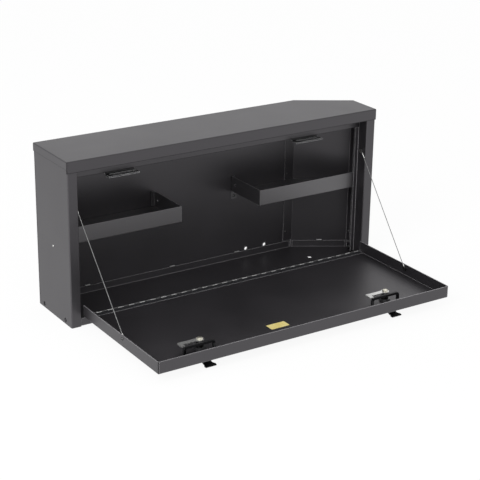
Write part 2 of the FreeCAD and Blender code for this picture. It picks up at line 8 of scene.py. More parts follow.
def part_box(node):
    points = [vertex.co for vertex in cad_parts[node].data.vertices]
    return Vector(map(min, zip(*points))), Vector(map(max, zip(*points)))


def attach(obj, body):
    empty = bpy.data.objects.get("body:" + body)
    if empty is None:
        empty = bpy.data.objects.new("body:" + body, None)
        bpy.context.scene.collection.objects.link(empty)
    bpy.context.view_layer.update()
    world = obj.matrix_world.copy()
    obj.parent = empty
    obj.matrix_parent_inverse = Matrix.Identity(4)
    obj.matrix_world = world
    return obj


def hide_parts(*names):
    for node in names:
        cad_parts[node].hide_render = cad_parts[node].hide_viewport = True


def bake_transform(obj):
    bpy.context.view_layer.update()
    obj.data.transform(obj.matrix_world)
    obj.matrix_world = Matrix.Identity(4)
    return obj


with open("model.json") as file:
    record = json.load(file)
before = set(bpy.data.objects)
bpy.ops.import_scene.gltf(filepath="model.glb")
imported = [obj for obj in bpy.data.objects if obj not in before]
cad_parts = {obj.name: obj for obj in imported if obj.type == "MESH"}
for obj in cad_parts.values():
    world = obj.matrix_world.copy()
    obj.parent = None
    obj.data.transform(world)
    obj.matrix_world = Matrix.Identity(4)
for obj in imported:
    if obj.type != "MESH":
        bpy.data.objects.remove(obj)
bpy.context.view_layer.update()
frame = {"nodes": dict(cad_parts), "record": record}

print("stage: frame loaded", len(frame["nodes"]), "nodes")

# camera at the photo's standpoint, metres and degrees
cameraSpot = {"place": (-1.5112, -2.4300, 1.2017), "yaw": 33.12, "pitch": 21.15, "roll": 0.88,
              "lens": 105.09, "sensor": 36.0, "farClip": 30.0}


def makeCamera():
    yaw, pitch, roll = (math.radians(cameraSpot[k]) for k in ("yaw", "pitch", "roll"))
    ahead = Vector((math.sin(yaw) * math.cos(pitch), math.cos(yaw) * math.cos(pitch), -math.sin(pitch)))
    level = Vector((math.cos(yaw), -math.sin(yaw), 0))
    right = level * math.cos(roll) + level.cross(ahead) * math.sin(roll)
    up = right.cross(ahead)
    data = bpy.data.cameras.new("photoCamera")
    data.lens = cameraSpot["lens"]
    data.sensor_width = cameraSpot["sensor"]
    data.sensor_height = cameraSpot["sensor"]
    data.clip_end = cameraSpot["farClip"]
    camera = bpy.data.objects.new("photoCamera", data)
    turn = Matrix((right, up, -ahead)).transposed()
    camera.matrix_world = Matrix.Translation(cameraSpot["place"]) @ turn.to_4x4()
    bpy.context.collection.objects.link(camera)
    bpy.context.scene.camera = camera


makeCamera()
print("stage: camera")


# shader helpers
def newMaterial(name):
    mat = bpy.data.materials.new(name)
    mat.use_nodes = True
    tree = mat.node_tree
    return mat, tree, tree.nodes["Principled BSDF"]


def addNode(tree, kind, **values):
    node = tree.nodes.new(kind)
    for key, value in values.items():
        setattr(node, key, value)
    return node


def mathNode(tree, operation, first, second=None, third=None):
    node = addNode(tree, "ShaderNodeMath", operation=operation)
    for socket, value in zip(node.inputs, (first, second, third)):
        if isinstance(value, (int, float)):
            socket.default_value = value
        elif value is not None:
            tree.links.new(value, socket)
    return node.outputs[0]


def spreadNode(tree, value, low, high):
    node = addNode(tree, "ShaderNodeMapRange")
    tree.links.new(value, node.inputs["Value"])
    node.inputs["From Min"].default_value = low
    node.inputs["From Max"].default_value = high
    return node.outputs["Result"]


def noiseNode(tree, vector, scale, detail):
    node = addNode(tree, "ShaderNodeTexNoise")
    node.inputs["Scale"].default_value = scale
    node.inputs["Detail"].default_value = detail
    tree.links.new(vector, node.inputs["Vector"])
    return node.outputs["Fac"]


def mixColor(tree, factor, first, second):
    node = addNode(tree, "ShaderNodeMix", data_type="RGBA")
    tree.links.new(factor, node.inputs["Factor"])
    for socket, value in ((node.inputs[6], first), (node.inputs[7], second)):
        if isinstance(value, tuple):
            socket.default_value = (*value, 1)
        else:
            tree.links.new(value, socket)
    return node.outputs[2]


def objectCoord(tree):
    return addNode(tree, "ShaderNodeTexCoord").outputs["Object"]


def coordParts(tree, vector):
    node = addNode(tree, "ShaderNodeSeparateXYZ")
    tree.links.new(vector, node.inputs["Vector"])
    return node.outputs


def newGroup(name, inputs, outputs):
    group = bpy.data.node_groups.new(name, "ShaderNodeTree")
    for way, sockets in (("INPUT", inputs), ("OUTPUT", outputs)):
        for label, kind in sockets.items():
            group.interface.new_socket(label, in_out=way, socket_type="NodeSocket" + kind)
    return group, group.nodes.new("NodeGroupInput").outputs, group.nodes.new("NodeGroupOutput").inputs


def placeGroup(tree, group, **values):
    node = addNode(tree, "ShaderNodeGroup", node_tree=group)
    for key, value in values.items():
        if isinstance(value, tuple):
            node.inputs[key].default_value = (*value, 1)
        elif isinstance(value, float):
            node.inputs[key].default_value = value
        else:
            tree.links.new(value, node.inputs[key])
    return node.outputs


coatSockets = {"Vector": "Vector", "Dark": "Color", "Light": "Color", "Roughness": "Float"}
coatResults = {"Color": "Color", "Roughness": "Float", "Height": "Float"}

# powder coat: fine orange peel for the bump, slow cloudiness for colour and gloss
powder = {"grainScale": 900, "grainDetail": 3, "cloudScale": 9, "cloudDetail": 4, "fleckScale": 1600,
          "grainTone": 0.5, "toneRange": (0.5, 1.0), "cloudRough": 0.12, "fleckHeight": 0.5}


def makePowderGroup():
    group, given, result = newGroup("powderCoat", coatSockets, coatResults)
    link = group.links.new
    grain = noiseNode(group, given["Vector"], powder["grainScale"], powder["grainDetail"])
    cloud = noiseNode(group, given["Vector"], powder["cloudScale"], powder["cloudDetail"])
    fleck = addNode(group, "ShaderNodeTexVoronoi")
    fleck.inputs["Scale"].default_value = powder["fleckScale"]
    link(given["Vector"], fleck.inputs["Vector"])
    mottle = mathNode(group, "MULTIPLY_ADD", grain, powder["grainTone"], cloud)
    tone = spreadNode(group, mottle, *powder["toneRange"])
    link(mixColor(group, tone, given["Dark"], given["Light"]), result["Color"])
    rough = mathNode(group, "MULTIPLY_ADD", cloud, powder["cloudRough"], given["Roughness"])
    link(rough, result["Roughness"])
    height = mathNode(group, "MULTIPLY_ADD", fleck.outputs["Distance"], powder["fleckHeight"], grain)
    link(height, result["Height"])
    return group


# plated metal: faint rolling lines, blotches and a little bump
plate = {"lineScale": (30, 900, 900), "lineDetail": 4, "lineRough": 0.15, "blotchScale": 160,
         "blotchDetail": 3}


def makePlateGroup():
    group, given, result = newGroup("platedMetal", coatSockets, coatResults)
    link = group.links.new
    stretch = addNode(group, "ShaderNodeMapping")
    stretch.inputs["Scale"].default_value = plate["lineScale"]
    link(given["Vector"], stretch.inputs["Vector"])
    lines = noiseNode(group, stretch.outputs["Vector"], 1, plate["lineDetail"])
    blotch = noiseNode(group, given["Vector"], plate["blotchScale"], plate["blotchDetail"])
    link(mixColor(group, blotch, given["Dark"], given["Light"]), result["Color"])
    link(mathNode(group, "MULTIPLY_ADD", lines, plate["lineRough"], given["Roughness"]), result["Roughness"])
    link(lines, result["Height"])
    return group


# edge mask: how far a rounded normal turns from the flat one, which marks bends and cut edges
edgeTurn = {"samples": 4, "range": (0.005, 0.06)}


def makeEdgeGroup():
    group, given, result = newGroup("edgeLine", {"Radius": "Float"}, {"Mask": "Float"})
    rounded = addNode(group, "ShaderNodeBevel", samples=edgeTurn["samples"])
    group.links.new(given["Radius"], rounded.inputs["Radius"])
    flat = addNode(group, "ShaderNodeNewGeometry")
    near = addNode(group, "ShaderNodeVectorMath", operation="DOT_PRODUCT")
    group.links.new(rounded.outputs["Normal"], near.inputs[0])
    group.links.new(flat.outputs["Normal"], near.inputs[1])
    turned = mathNode(group, "SUBTRACT", 1.0, near.outputs["Value"])
    group.links.new(spreadNode(group, turned, *edgeTurn["range"]), result["Mask"])
    return group


# ring round a line along X, rubbed at its rim: worn hinge steel, and the painted shade round the rims of the
# bolt holes
ring = {"rubScale": 220, "rubDetail": 2, "rub": 0.25, "fade": (1.1, 1.35)}


def makeWornAndShadeGroup():
    sockets = {"Vector": "Vector", "Across": "Float", "Up": "Float", "Reach": "Float"}
    group, given, result = newGroup("wornAndShadeRing", sockets, {"Mask": "Float"})
    parts = coordParts(group, given["Vector"])
    across = mathNode(group, "SUBTRACT", parts["Y"], given["Across"])
    up = mathNode(group, "SUBTRACT", parts["Z"], given["Up"])
    span = mathNode(group, "ADD", mathNode(group, "POWER", across, 2), mathNode(group, "POWER", up, 2))
    away = mathNode(group, "DIVIDE", mathNode(group, "SQRT", span), given["Reach"])
    rub = noiseNode(group, given["Vector"], ring["rubScale"], ring["rubDetail"])
    away = mathNode(group, "MULTIPLY_ADD", rub, ring["rub"], away)
    group.links.new(mathNode(group, "SUBTRACT", 1.0, spreadNode(group, away, *ring["fade"])), result["Mask"])
    return group


powderGroup = makePowderGroup()
plateGroup = makePlateGroup()
edgeGroup = makeEdgeGroup()
wornAndShadeGroup = makeWornAndShadeGroup()

powderBase = {"group": powderGroup, "metallic": 0.0, "bump": 0.10, "bumpDepth": 0.0002}
plateBase = {"group": plateGroup, "metallic": 1.0, "bumpDepth": 0.0001}
# the lighter edge colour is a painted highlight along bends and cut edges
blackCoat = {**powderBase, "dark": (0.0090, 0.0084, 0.0095), "light": (0.0142, 0.0133, 0.0150), "rough": 0.36,
             "gloss": 0.92, "tint": (1.0, 0.965, 1.02), "edge": 0.0012, "edgeHighlightShade": (0.36, 0.35, 0.365)}
# painted shade: near-black, and where metallic is set on it, reflecting nothing; used in the open corner
# seams, round the bolt-hole rims and along the cap's folded edges
paintedShadeBlack = (0.006, 0.006, 0.006)  # seams, hole rims and the cap's folded edges

finishes = {
    "blackCoat": blackCoat,
    # painted shade along the cap's and top jamb's folded edges: near-black on a wide edge mask, reflecting
    # nothing
    "capCoat": {**blackCoat, "edge": 0.0022, "edgeHighlightShade": paintedShadeBlack, "edgeShadeBlack": True},
    # painted highlight along the trays' edges
    "trayCoat": {**blackCoat, "edgeHighlightShade": (0.125, 0.122, 0.127), "lacquer": 1.0, "lacquerIor": 1.6},
    "doorCoat": {**blackCoat, "seam": 0.0013},
    "leftSideCoat": {**blackCoat, "holes": "left_side_bolts", "holeReach": 0.0045},
    "rightSideCoat": {**blackCoat, "holes": "right_side_bolts", "holeReach": 0.0045},
    # painted highlight along the strikes' edges
    "strikeBlack": {**powderBase, "dark": (0.005, 0.005, 0.006), "light": (0.010, 0.010, 0.011),
                    "rough": 0.40, "gloss": 0.4, "edge": 0.0012, "edgeHighlightShade": (0.50, 0.50, 0.51)},
    "strapBlack": {**powderBase, "dark": (0.004, 0.004, 0.005), "light": (0.008, 0.008, 0.009),
                   "rough": 0.42, "gloss": 0.3},
    # grey metal in place of the black coat the welds carry: painted highlight on the weld beads
    "weldHighlightGrey": {**plateBase, "dark": (0.22, 0.22, 0.22), "light": (0.40, 0.40, 0.40),
                 "rough": 0.30, "bump": 0.05},
    "rivetBlack": {**powderBase, "dark": (0.020, 0.020, 0.022), "light": (0.045, 0.045, 0.048),
                   "rough": 0.30, "gloss": 0.8},
    "hingeSteel": {**plateBase, "dark": (0.66, 0.66, 0.65), "light": (0.88, 0.88, 0.87),
                   "rough": 0.30, "bump": 0.05},
    "zincPlate": {**plateBase, "dark": (0.50, 0.50, 0.49), "light": (0.68, 0.68, 0.66),
                  "rough": 0.26, "bump": 0.04},
    # a lighter copy of the zinc plate for the cams: painted highlight, standing in for their bright
    # reflection
    "camZinc": {**plateBase, "dark": (0.70, 0.70, 0.69), "light": (0.86, 0.86, 0.85),
                "rough": 0.30, "bump": 0.04},
    "darkSteel": {**plateBase, "dark": (0.07, 0.07, 0.07), "light": (0.14, 0.14, 0.14),
                  "rough": 0.34, "bump": 0.05},
    # the barrels are darker above the door's inner face
    "lockNickel": {**plateBase, "dark": (0.58, 0.57, 0.54), "light": (0.72, 0.71, 0.68),
                   "rough": 0.14, "bump": 0.02, "inside": (0.035, 0.034, 0.032), "insideFade": 0.001},
    "boltBrass": {**plateBase, "dark": (0.66, 0.63, 0.52), "light": (0.82, 0.80, 0.70),
                  "rough": 0.28, "bump": 0.03},
    "ropeSteel": {**plateBase, "dark": (0.15, 0.15, 0.15), "light": (0.32, 0.32, 0.32),
                  "rough": 0.28, "bump": 0.04},
}

millimetre = 0.001
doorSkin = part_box("lock_nuts")[0][2]  # height of the open door's inner face


def boltSpots(mount):
    spot = next(m for m in frame["record"]["mounts"] if m["name"] == mount)
    half = spot["dims"]["spacing_x_mm"] / 2 * millimetre
    return Vector(spot["pos_m"]), (-half, half)


# painted shade round the rims of the bolt holes in a side wall
def holeMask(tree, mount, reach):
    middle, shifts = boltSpots(mount)
    place = objectCoord(tree)
    rims = [placeGroup(tree, wornAndShadeGroup, Vector=place, Across=middle.y + shift, Up=middle.z, Reach=reach)
            for shift in shifts]
    return mathNode(tree, "MAXIMUM", *[rim["Mask"] for rim in rims])


# painted shade in the open seams where the door's side lips meet the front lip
def seamMask(tree, reach):
    low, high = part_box("door_pan")
    parts = coordParts(tree, objectCoord(tree))
    across = mathNode(tree, "ABSOLUTE", parts["X"])
    nearSide = mathNode(tree, "GREATER_THAN", across, high[0] - reach)
    nearFront = mathNode(tree, "LESS_THAN", parts["Y"], low[1] + reach)
    return mathNode(tree, "MULTIPLY", nearSide, nearFront)


def gapShadeMask(tree, look):
    if "seam" in look:
        return seamMask(tree, look["seam"])
    if "holes" in look:
        return holeMask(tree, look["holes"], look["holeReach"])
    return None


def makeFinish(name):
    look = finishes[name]
    mat, tree, shader = newMaterial(name)
    coat = placeGroup(tree, look["group"], Vector=objectCoord(tree), Dark=look["dark"], Light=look["light"],
                      Roughness=look["rough"])
    color = coat["Color"]
    # mask of the painted shade in the door's seams and round the side walls' bolt holes
    paintedShadeMask = gapShadeMask(tree, look)
    if "edge" in look:
        # painted highlight along bends and cut edges; on the cap and top jamb, painted shade instead
        edge = placeGroup(tree, edgeGroup, Radius=look["edge"])["Mask"]
        color = mixColor(tree, edge, color, look["edgeHighlightShade"])
    if "inside" in look:
        height = coordParts(tree, objectCoord(tree))["Z"]
        behind = spreadNode(tree, height, doorSkin - look["insideFade"], doorSkin)
        color = mixColor(tree, behind, color, look["inside"])
    # painted shade: the masked coat turns near-black
    if paintedShadeMask is not None:
        color = mixColor(tree, paintedShadeMask, color, paintedShadeBlack)
    # the cap's folded edges take the painted shade, metallic included
    if "edgeShadeBlack" in look:
        paintedShadeMask = edge
    bump = addNode(tree, "ShaderNodeBump")
    bump.inputs["Strength"].default_value = look["bump"]
    bump.inputs["Distance"].default_value = look["bumpDepth"]
    tree.links.new(coat["Height"], bump.inputs["Height"])
    tree.links.new(color, shader.inputs["Base Color"])
    tree.links.new(coat["Roughness"], shader.inputs["Roughness"])
    tree.links.new(bump.outputs["Normal"], shader.inputs["Normal"])
    shader.inputs["Metallic"].default_value = look["metallic"]
    # metallic on the painted-shade mask, with the near-black colour, so the painted shade reflects nothing
    if paintedShadeMask is not None:
        tree.links.new(paintedShadeMask, shader.inputs["Metallic"])
    shader.inputs["Specular IOR Level"].default_value = look.get("gloss", 0.5)
    shader.inputs["Specular Tint"].default_value = (*look.get("tint", (1, 1, 1)), 1)
    if "lacquer" in look:
        shader.inputs["Coat Weight"].default_value = look["lacquer"]
        shader.inputs["Coat Roughness"].default_value = look["rough"]
        shader.inputs["Coat IOR"].default_value = look["lacquerIor"]
    return mat


mats = {name: makeFinish(name) for name in finishes}
print("stage: materials", len(mats))

# finish of each node that isn't plain black coat
nodeFinish = {
    "left_side_panel": "leftSideCoat", "right_side_panel": "rightSideCoat", "door_pan": "doorCoat",
    "top_cap": "capCoat", "top_jamb": "capCoat", "left_tray": "trayCoat", "right_tray": "trayCoat",
    "cabinet_hinge_leaf": "hingeSteel", "hinge_pin": "zincPlate",
    "cable_anchors": "zincPlate", "door_anchors": "darkSteel", "lock_nuts": "rivetBlack",
    "lock_barrels": "lockNickel", "left_lock_plug": "lockNickel", "right_lock_plug": "lockNickel",
    "lock_brackets": "strapBlack", "finger_pulls": "strapBlack",
    "left_lock_cam": "camZinc", "right_lock_cam": "camZinc",
    "left_strike": "strikeBlack", "right_strike": "strikeBlack",
    "left_cam_bolt": "boltBrass", "right_cam_bolt": "boltBrass",
    "left_stay_cable": "ropeSteel", "right_stay_cable": "ropeSteel",
}


def dressNodes():
    for name, node in frame["nodes"].items():
        node.data.materials.clear()
        node.data.materials.append(mats[nodeFinish.get(name, "blackCoat")])


dressNodes()
print("stage: nodes dressed")

# piece helpers
mergeDist = 1e-6


def closePiece(name, bm, mat, sharpDeg=35):
    bmesh.ops.remove_doubles(bm, verts=bm.verts, dist=mergeDist)
    bmesh.ops.recalc_face_normals(bm, faces=bm.faces)
    for face in bm.faces:
        face.smooth = True
    for edge in bm.edges:
        edge.smooth = edge.calc_face_angle(0) < math.radians(sharpDeg)
    mesh = bpy.data.meshes.new(name)
    bm.to_mesh(mesh)
    bm.free()
    mesh.materials.append(mat)
    piece = bpy.data.objects.new(name, mesh)
    bpy.context.collection.objects.link(piece)
    return piece


def frameOn(point, axis):
    return Matrix.Translation(point) @ Vector(axis).to_track_quat("Z", "Y").to_matrix().to_4x4()


def drawLine(bm, points, closed):
    line = [bm.verts.new(point) for point in points]
    ahead = line[1:] + line[:1] if closed else line[1:]
    return line + [bm.edges.new(pair) for pair in zip(line, ahead)]


def spinRound(bm, geom, steps, centre=(0, 0, 0), axis=(0, 0, 1)):
    bmesh.ops.spin(bm, geom=geom, cent=centre, axis=axis, dvec=(0, 0, 0), angle=2 * math.pi, steps=steps,
                   use_merge=True, use_duplicate=False)


def spinPart(bm, geom, angle, steps, centre, axis, climb=(0, 0, 0)):
    return bmesh.ops.spin(bm, geom=geom, cent=centre, axis=axis, dvec=climb, angle=angle, steps=steps,
                          use_merge=False, use_duplicate=False)


def pullFace(bm, face, shift):
    grown = bmesh.ops.extrude_face_region(bm, geom=[face])["geom"]
    bmesh.ops.translate(bm, vec=shift, verts=[v for v in grown if isinstance(v, bmesh.types.BMVert)])
    return next(f for f in grown if isinstance(f, bmesh.types.BMFace))


def addBlock(bm, low, high):
    made = bmesh.ops.create_cube(bm, size=1.0)
    middle = (Vector(low) + Vector(high)) / 2
    size = Vector(high) - Vector(low)
    place = Matrix.Translation(middle) @ Matrix.Diagonal((*size, 1))
    bmesh.ops.transform(bm, matrix=place, verts=made["verts"])


def bevelEdges(bm, edges, offset, segments):
    bmesh.ops.bevel(bm, geom=edges, offset=offset, offset_type="OFFSET", segments=segments, profile=0.5,
                    affect="EDGES", material=-1)


# blind rivets: a domed head with the dimple its stem leaves, for a radius of 1
rivets = {"profile": ((0.0, 0.30), (0.30, 0.30), (0.36, 0.62), (0.70, 0.50), (0.94, 0.22), (1.0, 0.0)),
          "steps": 20}


def rivetMesh():
    bm = bmesh.new()
    spinRound(bm, drawLine(bm, [(r, 0, h) for r, h in rivets["profile"]], False), rivets["steps"])
    mesh = bpy.data.meshes.new("rivetHead")
    bm.to_mesh(mesh)
    bm.free()
    return mesh


def rivetRow(name, places, radius, mat, body):
    head = rivetMesh()
    size = Matrix.Scale(radius, 4)
    bm = bmesh.new()
    for point, axis in places:
        before = len(bm.verts)
        bm.from_mesh(head)
        bm.verts.ensure_lookup_table()
        bmesh.ops.transform(bm, matrix=frameOn(point, axis) @ size, verts=bm.verts[before:])
    bpy.data.meshes.remove(head)
    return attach(closePiece(name, bm, mats[mat]), body)


# faces of the cabinet's sheets that fasteners sit on, metres
sheet = 0.0015
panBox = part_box("bottom_pan")
panRear = panBox[1][1] - sheet
sideInside = panBox[1][0]
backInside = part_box("back_panel")[0][1]

trayRivets = {"x": (-0.1084, -0.3410, 0.1037, 0.2274), "z": 0.1562, "sheet": 0.0012, "rightY": -0.0262,
              "radius": 0.0036, "outside": 0.0022}
seamRivets = {"z": (0.042, 0.184, 0.310), "x": (-0.367, 0.2474), "rightY": 0.0008, "radius": 0.0026}


def makeCabinetRivets():
    z = trayRivets["z"]
    seat = backInside - trayRivets["sheet"]
    side = sideInside - trayRivets["sheet"]
    places = [((x, seat, z), (0, -1, 0)) for x in trayRivets["x"]]
    places += [((-side, 0, z), (1, 0, 0)), ((side, trayRivets["rightY"], z), (-1, 0, 0))]
    rivetRow("trayRivets", places, trayRivets["radius"], "rivetBlack", "cabinet")
    tail = [((-sideInside - sheet, 0, z), (-1, 0, 0))]
    rivetRow("sideRivet", tail, trayRivets["outside"], "zincPlate", "cabinet")
    places = [((x, backInside - sheet, z), (0, -1, 0)) for x in seamRivets["x"] for z in seamRivets["z"]]
    places += [((sideInside - sheet, seamRivets["rightY"], z), (-1, 0, 0)) for z in seamRivets["z"]]
    rivetRow("seamRivets", places, seamRivets["radius"], "darkSteel", "cabinet")


makeCabinetRivets()

# stitch welds on top of the pan's rear and corner flanges, each a row of overlapping ripples, in grey metal
# that is a painted highlight in place of the black coat
panWelds = {"x": (-0.268, -0.057, 0.114), "corner": (0.3235, 0.0427), "cornerOut": (0.5034, 0.8640, 0),
            "cornerInset": 0.0045, "ripples": 6, "pitch": 0.0019, "radius": 0.0023, "seat": 0.0004,
            "rise": 0.0012, "sides": 12, "rings": 8}


def makePanWelds():
    bm = bmesh.new()
    top = panBox[1][2]
    out = Vector(panWelds["cornerOut"])
    beads = [(Vector((x, panRear, top)), Vector((1, 0, 0))) for x in panWelds["x"]]
    corner = Vector((*panWelds["corner"], top)) - out * panWelds["cornerInset"]
    beads.append((corner, Vector((out.y, -out.x, 0))))
    for middle, way in beads:
        for index in range(panWelds["ripples"]):
            shift = (index - (panWelds["ripples"] - 1) / 2) * panWelds["pitch"]
            place = middle + way * shift + Vector((0, panWelds["seat"], panWelds["rise"]))
            bmesh.ops.create_uvsphere(bm, u_segments=panWelds["sides"], v_segments=panWelds["rings"],
                                      radius=panWelds["radius"], matrix=Matrix.Translation(place))
    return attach(closePiece("panWelds", bm, mats["weldHighlightGrey"]), "cabinet")


makePanWelds()

# round nuts pressed into the walls for the bed bolts: radius and height in millimetres
nuts = {"side": ((4.0, 0.0), (6.4, 0.0), (6.4, 5.2), (5.8, 5.8), (4.5, 5.8), (4.0, 5.3)),
        "back": ((4.1, 0.0), (4.95, 0.0), (4.95, 2.7), (4.65, 3.0), (4.3, 3.0), (4.1, 2.8)), "steps": 24}


def pressedNut(bm, wall, point, axis):
    before = set(bm.verts)
    line = drawLine(bm, [(r * millimetre, 0, h * millimetre) for r, h in nuts[wall]], True)
    spinRound(bm, line, nuts["steps"])
    bmesh.ops.transform(bm, matrix=frameOn(point, axis), verts=[v for v in bm.verts if v not in before])


def makeNuts():
    bm = bmesh.new()
    for mount, side in (("left_side_bolts", -1), ("right_side_bolts", 1)):
        middle, shifts = boltSpots(mount)
        for shift in shifts:
            pressedNut(bm, "side", (side * (sideInside - sheet), middle.y + shift, middle.z), (-side, 0, 0))
    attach(closePiece("sideNuts", bm, mats["strapBlack"]), "cabinet")
    bm = bmesh.new()
    middle, shifts = boltSpots("tailgate_bolts")
    for shift in shifts:
        pressedNut(bm, "back", (middle.x + shift, backInside, middle.z), (0, -1, 0))
    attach(closePiece("backNuts", bm, mats["rivetBlack"]), "cabinet")


makeNuts()

# tails of the door's cable pins, outside the side lips
pinTails = {"y": -0.2412, "z": 0.038, "radius": 0.0034}


def makePinTails():
    low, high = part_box("door_pan")
    places = [((x, pinTails["y"], pinTails["z"]), (way, 0, 0)) for x, way in ((low[0], -1), (high[0], 1))]
    rivetRow("pinTails", places, pinTails["radius"], "darkSteel", "door")


makePinTails()
print("stage: rivets, welds and nuts")

# rolled hinge leaves: each knuckle is the leaf's own sheet curled round the pin
hinge = {"knuckles": 55, "gap": 0.0005, "sheet": 0.0012, "leaf": 0.0175, "notch": 0.0006,
         "curlDeg": 300, "steps": 20}
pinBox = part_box("hinge_pin")
hingeAxis = Vector((0, (pinBox[0][1] + pinBox[1][1]) / 2, (pinBox[0][2] + pinBox[1][2]) / 2))
hingeStart = pinBox[0][0]
knucklePitch = (pinBox[1][0] - pinBox[0][0]) / hinge["knuckles"]
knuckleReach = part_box("door_hinge_leaf")[1][2] - hingeAxis.z


def hingeLeaf(name, first, turn, mat, body, node):
    # drawn with the leaf hanging down behind the pin, then turned about the pin
    bm = bmesh.new()
    outer = knuckleReach
    inner = outer - hinge["sheet"]
    root = -outer - hinge["notch"]
    length = knucklePitch * hinge["knuckles"]
    addBlock(bm, (hingeStart, inner, -hinge["leaf"]), (hingeStart + length, outer, root))
    for index in range(first, hinge["knuckles"], 2):
        x0 = hingeStart + index * knucklePitch + hinge["gap"] / 2
        x1 = x0 + knucklePitch - hinge["gap"]
        corners = ((x0, inner), (x1, inner), (x1, outer), (x0, outer))
        foot = bm.faces.new([bm.verts.new((x, y, root)) for x, y in corners])
        tip = pullFace(bm, foot, (0, 0, -root))
        spinPart(bm, [tip], math.radians(hinge["curlDeg"]), hinge["steps"], (0, 0, 0), (1, 0, 0))
    bmesh.ops.transform(bm, matrix=Matrix.Translation(hingeAxis) @ turn, verts=bm.verts)
    piece = closePiece(name, bm, mat)
    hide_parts(node)
    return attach(piece, body)


# the door's leaf is painted, and its knuckles are worn to the steel
wornLook = {"coat": (0.018, 0.018, 0.020), "steel": (0.34, 0.34, 0.34), "coatRough": 0.36, "steelRough": 0.52,
            "reach": 0.0038, "edge": 0.0008}


def makeWornLeaf():
    mat, tree, shader = newMaterial("wornLeaf")
    place = objectCoord(tree)
    worn = placeGroup(tree, wornAndShadeGroup, Vector=place, Across=hingeAxis.y, Up=hingeAxis.z,
                      Reach=wornLook["reach"])["Mask"]
    coat = placeGroup(tree, powderGroup, Vector=place, Dark=wornLook["coat"], Light=wornLook["coat"],
                      Roughness=wornLook["coatRough"])
    edge = placeGroup(tree, edgeGroup, Radius=wornLook["edge"])["Mask"]
    # painted highlight along the leaf's edges
    painted = mixColor(tree, edge, coat["Color"], blackCoat["edgeHighlightShade"])
    tree.links.new(mixColor(tree, worn, painted, wornLook["steel"]), shader.inputs["Base Color"])
    tree.links.new(worn, shader.inputs["Metallic"])
    rise = wornLook["steelRough"] - wornLook["coatRough"]
    tree.links.new(mathNode(tree, "MULTIPLY_ADD", worn, rise, coat["Roughness"]), shader.inputs["Roughness"])
    return mat


mats["wornLeaf"] = makeWornLeaf()
hingeLeaf("cabinetLeaf", 0, Matrix.Identity(4), mats["hingeSteel"], "cabinet", "cabinet_hinge_leaf")
flip = Matrix.Rotation(-math.pi / 2, 4, "X") @ Matrix.Scale(-1, 4, (0, 1, 0))
hingeLeaf("doorLeaf", 1, flip, mats["wornLeaf"], "door", "door_hinge_leaf")
print("stage: hinge")

# stay cables: six strands laid round the line between two crimped eyes, metres, right side
cable = {"upper": (0.3558, -0.0602, 0.2580), "lower": (0.3494, -0.2412, 0.0380), "upperReach": 0.0186,
         "lowerReach": 0.0102, "rope": 0.0008, "strands": 6, "strandSides": 6, "lay": 0.0100,
         "stepsPerLay": 12, "lead": 0.0096, "loop": 0.0034, "loopRope": 0.0009, "loopSides": 12,
         "loopSteps": 28, "sleeve": (0.0011, 0.0022), "sleeveStart": 0.0046, "sleeveSides": 20,
         "sleeveEdge": 0.0005, "sharpDeg": 50}


def cableEnds(side):
    upper = Vector((side * cable["upper"][0], *cable["upper"][1:]))
    lower = Vector((side * cable["lower"][0], *cable["lower"][1:]))
    run = Vector((0, lower.y - upper.y, lower.z - upper.z)).normalized()
    return upper, lower, run


def routePoints(name, points):
    curve = bpy.data.curves.new(name, "CURVE")
    curve.dimensions = "3D"
    spline = curve.splines.new("NURBS")
    spline.points.add(len(points) - 1)
    for spot, point in zip(spline.points, points):
        spot.co = (*point, 1)
    spline.order_u = 3
    spline.use_endpoint_u = True
    holder = bpy.data.objects.new(name, curve)
    bpy.context.collection.objects.link(holder)
    line = bpy.data.meshes.new_from_object(holder)
    found = [vert.co.copy() for vert in line.vertices]
    bpy.data.objects.remove(holder)
    bpy.data.curves.remove(curve)
    bpy.data.meshes.remove(line)
    return found


def cableRope(name, upper, lower, run):
    start = upper + run * (cable["upperReach"] - cable["rope"])
    end = lower - run * (cable["lowerReach"] - cable["rope"])
    lead = (end - start).normalized() * cable["lead"]
    path = routePoints(name + "Route", [start, start + lead, end - lead, end])
    along = path[-1] - path[0]
    steps = round(along.length / cable["lay"] * cable["stepsPerLay"])
    strand = cable["rope"] / 3  # six round one core of the same width
    bm = bmesh.new()
    for index in range(cable["strands"]):
        turn = Matrix.Rotation(2 * math.pi * index / cable["strands"], 4, "Z")
        place = turn @ Matrix.Translation((cable["rope"] - strand, 0, 0))
        bmesh.ops.create_circle(bm, segments=cable["strandSides"], radius=strand, matrix=place)
    bmesh.ops.transform(bm, matrix=frameOn(path[0], along), verts=bm.verts)
    spinPart(bm, bm.verts[:] + bm.edges[:], 2 * math.pi * steps / cable["stepsPerLay"], steps, path[0],
             along.normalized(), along / steps)
    rope = closePiece(name, bm, mats["ropeSteel"])
    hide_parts(name.replace("StayCable", "_stay_cable"))
    return rope, path


